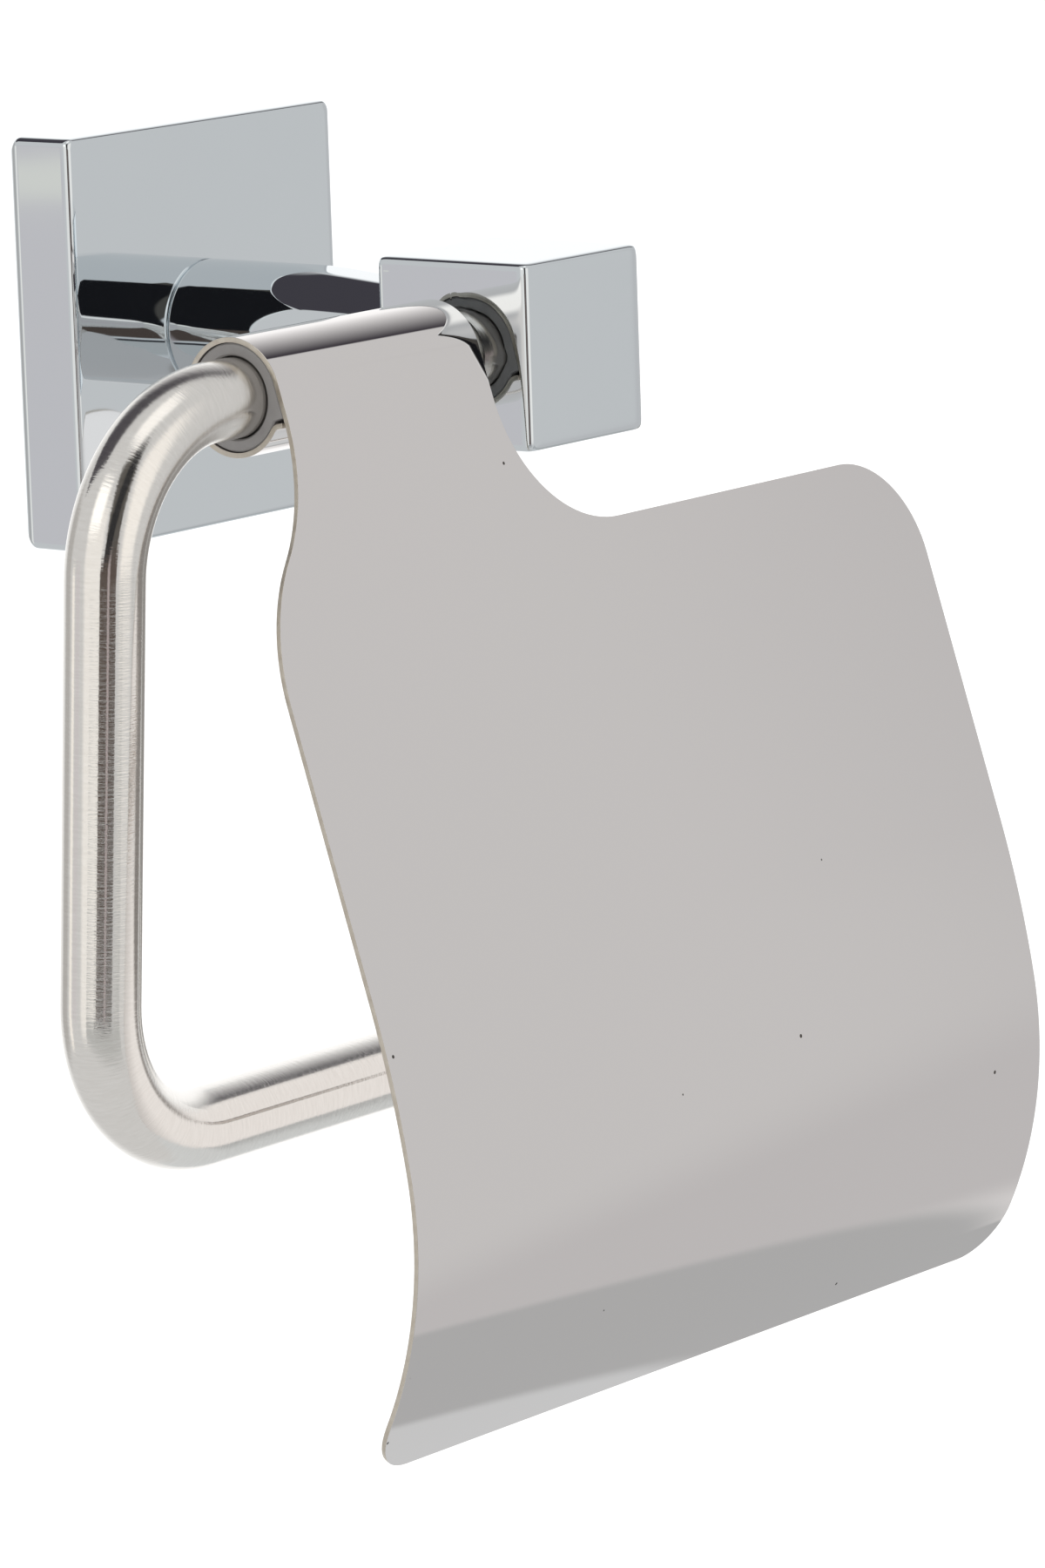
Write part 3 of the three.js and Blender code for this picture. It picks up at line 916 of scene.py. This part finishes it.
coverShape = {
    "sheet": 0.62,
    "tilt": -17.2,  # degrees from straight down
    "tailTurn": 311,  # degrees rolled round the bar before the tail flares out
    "tailRadius": 1.0,
    "tailFlare": 50,
    "tailEnd": 0.5,
    "flat": 70.5,  # down from the hinge: a flat length, an easing one and a curled one
    "ease": 19.6,
    "easeRadius": 142,
    "curl": 37.8,
    "curlRadius": 50.7,
    "shoulder": 23.2,
    "neckFillet": 17,
    "filletSteps": 24,
    "topCorner": 13,
    "topSteps": 20,
    "bottomCorner": 7,
    "bottomSteps": 12,
    "sweepStart": 4,  # where the left edge leaves the roll's end and where it reaches full width
    "sweepEnd": 36,
    "sweepSteps": 16,
    "scores": {"tail": 8, "roll": 90, "flat": 24, "curve": 72},
    "scoreGap": 1e-5,  # a point nearer a score than this is taken as on it
    "edge": 0.12,
    "edgeSegments": 2,
    "edgeAngle": 50,
}
coverLength = coverShape["flat"] + coverShape["ease"] + coverShape["curl"]
rollRadius = boxMm("cover_sheet")[1].z - hinge.z


def coverPoint(s):
    # where the sheet's outer face lies, s along the sheet; the hinge line is at 0
    if s > 0:
        y, z, heading = -rollRadius, -min(s, coverShape["flat"]), 0.0
        start = coverShape["flat"]
        for length, radius in (("ease", "easeRadius"), ("curl", "curlRadius")):
            reach = coverShape[radius]
            turn = min(max(s - start, 0), coverShape[length]) / reach
            y += reach * (math.cos(heading) - math.cos(heading + turn))
            z -= reach * (math.sin(heading + turn) - math.sin(heading))
            heading += turn
            start += coverShape[length]
        return y, z
    rolled = math.radians(coverShape["tailTurn"])
    turn = min(-s / rollRadius, rolled)
    out = (-math.cos(turn), math.sin(turn))
    y, z = rollRadius * out[0], rollRadius * out[1]
    extra = -s - rolled * rollRadius
    if extra <= 0:
        return y, z
    # the tail turns the other way, so its centre is on the outer side
    bend = coverShape["tailRadius"]
    flare = min(extra / bend, math.radians(coverShape["tailFlare"]))
    centre = (y + bend * out[0], z + bend * out[1])
    swung = turn - flare
    outNow = (-math.cos(swung), math.sin(swung))
    y, z = centre[0] - bend * outNow[0], centre[1] - bend * outNow[1]
    straight = extra - flare * bend
    if straight > 0:
        y += straight * math.sin(swung)
        z += straight * math.cos(swung)
    return y, z


def arcPoints(centre, radius, start, end, count):
    turns = [math.radians(start + (end - start) * i / count) for i in range(count + 1)]
    return [(centre[0] + radius * math.cos(t), centre[1] + radius * math.sin(t)) for t in turns]


def coverOutline():
    # the flat sheet before bending: x, and s measured down from the hinge
    rollLeft = boxMm("cover_bush_left")[0].x
    rollRight = boxMm("cover_bush_right")[1].x
    panelLow, panelHigh = boxMm("cover_sheet")
    left, right = panelLow.x, panelHigh.x
    top = -coverTail()
    sweep = coverShape["sweepEnd"] - coverShape["sweepStart"]
    overhang = rollLeft - left
    halfTurn = math.atan(overhang / sweep)
    sweepRadius = sweep / 2 / math.sin(2 * halfTurn)
    swing = math.degrees(2 * halfTurn)
    bottom = coverShape["bottomCorner"]
    corner = coverShape["topCorner"]
    fillet = coverShape["neckFillet"]
    shoulder = coverShape["shoulder"]
    upperCentre = (rollLeft - sweepRadius, coverShape["sweepStart"])
    lowerCentre = (left + sweepRadius, coverShape["sweepEnd"])
    sweepSteps, bottomSteps = coverShape["sweepSteps"], coverShape["bottomSteps"]
    points = [(rollLeft, top)]
    points += arcPoints(upperCentre, sweepRadius, 0, swing, sweepSteps)
    points += arcPoints(lowerCentre, sweepRadius, 180 + swing, 180, sweepSteps)[1:]
    points += arcPoints((left + bottom, coverLength - bottom), bottom, 180, 90, bottomSteps)
    points += arcPoints((right - bottom, coverLength - bottom), bottom, 90, 0, bottomSteps)
    points += arcPoints((right - corner, shoulder + corner), corner, 0, -90, coverShape["topSteps"])
    neck = (rollRight + fillet, shoulder - fillet)
    points += arcPoints(neck, fillet, 90, 180, coverShape["filletSteps"])
    points += [(rollRight, top)]
    return points


def coverTail():
    # how far the rolled part and its flared tail reach above the hinge line in the flat sheet
    rolled = math.radians(coverShape["tailTurn"]) * rollRadius
    flared = math.radians(coverShape["tailFlare"]) * coverShape["tailRadius"]
    return rolled + flared + coverShape["tailEnd"]


def coverBends():
    # where the flat sheet is scored so that it can bend smoothly
    rolled = math.radians(coverShape["tailTurn"]) * rollRadius
    scores = coverShape["scores"]
    tail, roll, flat, curve = scores["tail"], scores["roll"], scores["flat"], scores["curve"]
    lines = [-coverTail() + (coverTail() - rolled) * i / tail for i in range(1, tail)]
    lines += [-rolled * (1 - i / roll) for i in range(roll + 1)]
    lines += [coverShape["flat"] * i / flat for i in range(1, flat + 1)]
    curved = coverLength - coverShape["flat"]
    lines += [coverShape["flat"] + curved * i / curve for i in range(1, curve)]
    return lines


def buildCover():
    bm = bmesh.new()
    bm.faces.new([bm.verts.new((x, s, 0)) for x, s in coverOutline()])
    gap = coverShape["scoreGap"]
    for line in coverBends():
        everything = bm.verts[:] + bm.edges[:] + bm.faces[:]
        place = (0, line, 0)
        bmesh.ops.bisect_plane(bm, geom=everything, plane_co=place, plane_no=(0, 1, 0), dist=gap)
    for vertex in bm.verts:
        y, z = coverPoint(vertex.co.y)
        vertex.co = aboutHinge(coverShape["tilt"], (vertex.co.x, y, z)) * mm
    bm.normal_update()
    sample = max(bm.faces, key=lambda face: -face.calc_center_median().y)
    if sample.normal.y > 0:
        bmesh.ops.reverse_faces(bm, faces=bm.faces)
    piece = linkMesh("coverPanel", bm, sheetSteel, cutEdge)
    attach(piece, "cover")
    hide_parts("cover_sheet")
    thick = piece.modifiers.new("thick", "SOLIDIFY")
    thick.thickness = coverShape["sheet"] * mm
    thick.offset = -1
    thick.use_even_offset = True
    thick.material_offset_rim = 1
    applyModifiers(piece)
    bevelEdges(piece, coverShape["edge"], coverShape["edgeSegments"], coverShape["edgeAngle"])
    weightNormals(piece)


# bushes

bushShape = {
    "gap": 0.06,  # between the bush and the sheet rolled round it
    "bore": 4.8,
    "recess": 0.15,
    "wedgeFoot": 4.0,
    "edge": 0.2,
    "sides": 144,
    "sharpAngle": 40,
}


def bushRadiusAt(turn, outer):
    # round, but drawn out into the corner between the roll and the hanging sheet
    if 0 < turn < math.pi / 4:
        return max(outer, min(outer / math.cos(turn), bushShape["wedgeFoot"] / math.sin(turn)))
    return outer


def buildBush(name, node, outward):
    low, high = boxMm(node)
    ends = (low.x, high.x) if outward < 0 else (high.x, low.x)
    face = ends[0] - outward * bushShape["recess"]
    outer = rollRadius - coverShape["sheet"] - bushShape["gap"]
    bore, edge, sides = bushShape["bore"], bushShape["edge"], bushShape["sides"]

    def ring(x, inset, radius=None):
        points = []
        for i in range(sides):
            turn = 2 * math.pi * i / sides
            reach = (bushRadiusAt(turn, outer) - inset) if radius is None else radius
            flat = (x, -reach * math.cos(turn), -reach * math.sin(turn))
            points.append(aboutHinge(coverShape["tilt"], flat))
        return points

    rings = [
        ring(face - outward * edge, 0),
        ring(face, edge),
        ring(face, 0, bore + edge),
        ring(face - outward * edge, 0, bore),
        ring(ends[1], 0, bore),
        ring(ends[1], 0),
    ]
    bm = loft(rings, closed=True)
    piece = meshPiece(name, bm, greyPlastic, "cover", node)
    smoothByAngle(piece, bushShape["sharpAngle"])


buildRosette()
buildStem()
buildBlock()
print("rosette, stem and block built")
buildRollBar()
print("roll bar built")
buildCover()
buildBush("bushLeft", "cover_bush_left", -1)
buildBush("bushRight", "cover_bush_right", 1)
print("cover built")


# the bracket and the screws keep their own shapes

hardware = [
    "wall_bracket",
    "plate_grub_screw",
    "stem_washer",
    "stem_screw",
    "block_stud",
    "arm_grub_screw",
]


def finishHardware():
    for node in hardware:
        obj = frame["nodes"][node]
        obj.data.materials.clear()
        obj.data.materials.append(zincSteel)
        for polygon in obj.data.polygons:
            polygon.use_smooth = False


finishHardware()
print("hardware finished")
